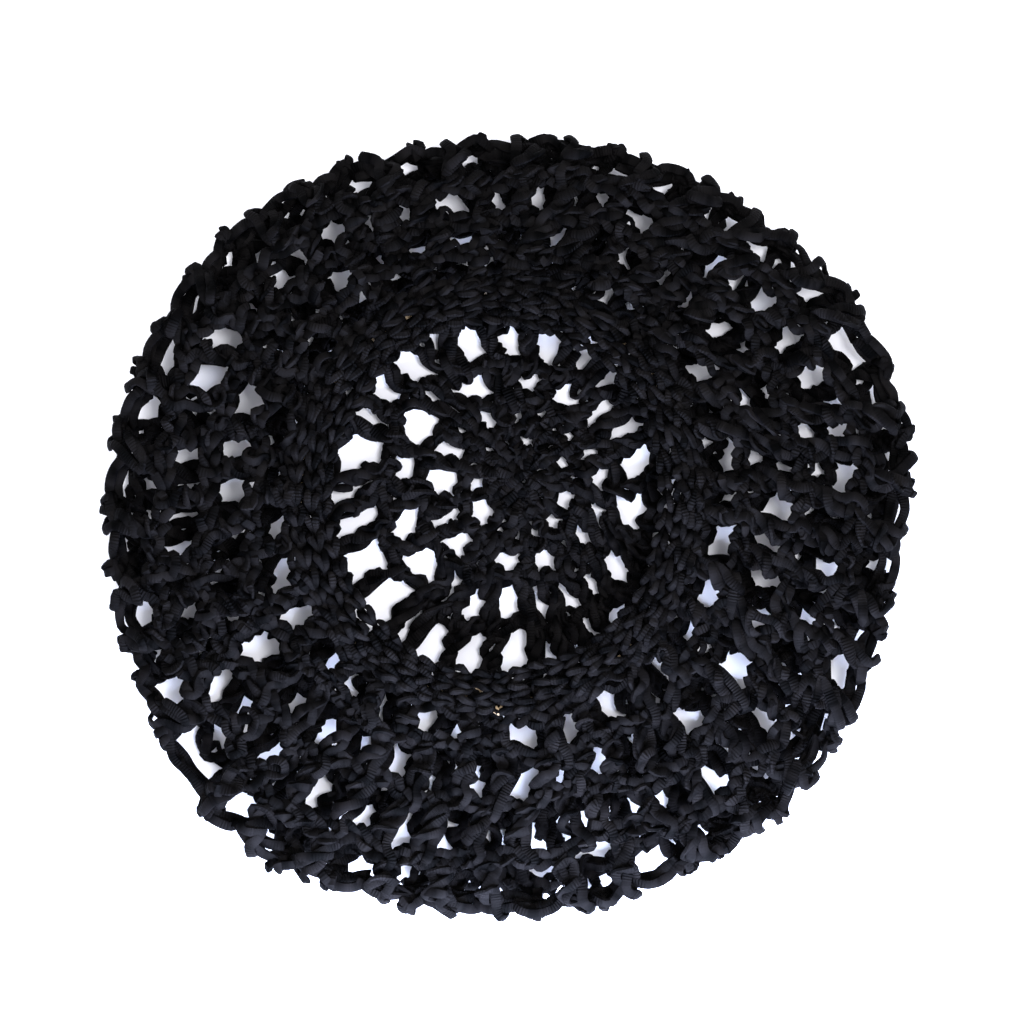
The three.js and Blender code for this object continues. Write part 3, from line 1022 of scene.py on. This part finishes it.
print(WINDINGS, "windings round the elastic")

# %% Crochet the band and the edge
BAND_YARN = dict(width=2.1 * MM, thickness=1.8 * MM)
BAND_STEP = 1.1 * MM


def crochet_band(name):
    strands = []
    for i, row in enumerate(BAND_ROUNDS):
        if row["name"] == name:
            path = band_round_path(row, BAND_SEED + i)
            strands.append(make_strand(path, BAND_LAY_SEED + i, BAND_STEP, loop_swell(row)))
    width, thickness = BAND_YARN["width"], BAND_YARN["thickness"]
    piece = sweep_strands(name + "_stitches", strands, width, thickness, YARN)
    hand_in(piece, name)


def wind_elastic():
    strand = make_strand(winding_path(), WINDING_LAY_SEED)
    width = WINDING["tape"] * MM
    piece = sweep_strands("band_windings", [strand], width, TAPE_THICKNESS, YARN)
    hand_in(piece, "mouth_band")


crochet_band("mouth_band")
crochet_band("edge_chain")
wind_elastic()

# %% [markdown]
# ## The elastic
#
# A ring of tan elastic runs inside the band. It hardly shows: two specks of it glint
# between the stitches on the near side, so the ring is lifted there and lies a little
# lower in the band everywhere else.

# %% Elastic ring
ELASTIC_WAY = 221.4
ELASTIC_WANDER = 0.5  # mm that the ring wanders towards the mouth and back
ELASTIC_DROP = 1.7 * MM  # how much lower than the solid ring it lies
ELASTIC_STEPS = 480
ELASTIC_SEED = 330
GLINTS = [
    dict(x=-10.0 * MM, y=-52.4 * MM, way=226.6, rise=4.0 * MM),
    dict(x=-3.1 * MM, y=-60.3 * MM, way=218.6, rise=4.6 * MM),
]
GLINT_SPAN = 0.03  # how far along the ring a glint reaches, in radians


def build_elastic_material():
    material = bpy.data.materials.new("tan_elastic")
    material.use_nodes = True
    tree = material.node_tree
    shader = tree.nodes["Principled BSDF"]
    shader.inputs["Roughness"].default_value = 0.5
    tint = tree.nodes.new("ShaderNodeTexNoise")
    tint.inputs["Scale"].default_value = 900
    ramp = tree.nodes.new("ShaderNodeValToRGB")
    ramp.color_ramp.elements[0].color = (0.26, 0.18, 0.1, 1)
    ramp.color_ramp.elements[1].color = (0.5, 0.38, 0.25, 1)
    place = tree.nodes.new("ShaderNodeTexCoord")
    tree.links.new(place.outputs["Object"], tint.inputs["Vector"])
    tree.links.new(tint.outputs["Fac"], ramp.inputs["Fac"])
    tree.links.new(ramp.outputs["Color"], shader.inputs["Base Color"])
    return material


def lay_elastic():
    angle = np.linspace(0, TURN, ELASTIC_STEPS + 1)
    way = ELASTIC_WAY + ELASTIC_WANDER * slow_waves(angle, ELASTIC_SEED)
    rise = np.zeros(len(angle))
    for glint in GLINTS:
        place = math.atan2(glint["y"] - MOUTH_CENTRE[1], glint["x"] - MOUTH_CENTRE[0]) % TURN
        near = np.exp(-(((angle - place) / GLINT_SPAN) ** 2))
        way += (glint["way"] - ELASTIC_WAY) * near
        rise += glint["rise"] * near
    rest = np.zeros(len(angle))
    points = band_points(angle, way, rest, rest, rest)
    low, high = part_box("elastic_ring")
    points[:, 2] = (low.z + high.z) / 2 - ELASTIC_DROP + rise
    up = np.tile([0.0, 0.0, 1.0], (len(points), 1))
    ring = {"points": points, "lay": up, "swell": np.ones(len(points))}
    thick = high.z - low.z
    piece = sweep_strands("tan_elastic", [ring], thick, thick, build_elastic_material())
    hand_in(piece, "elastic_ring")


lay_elastic()
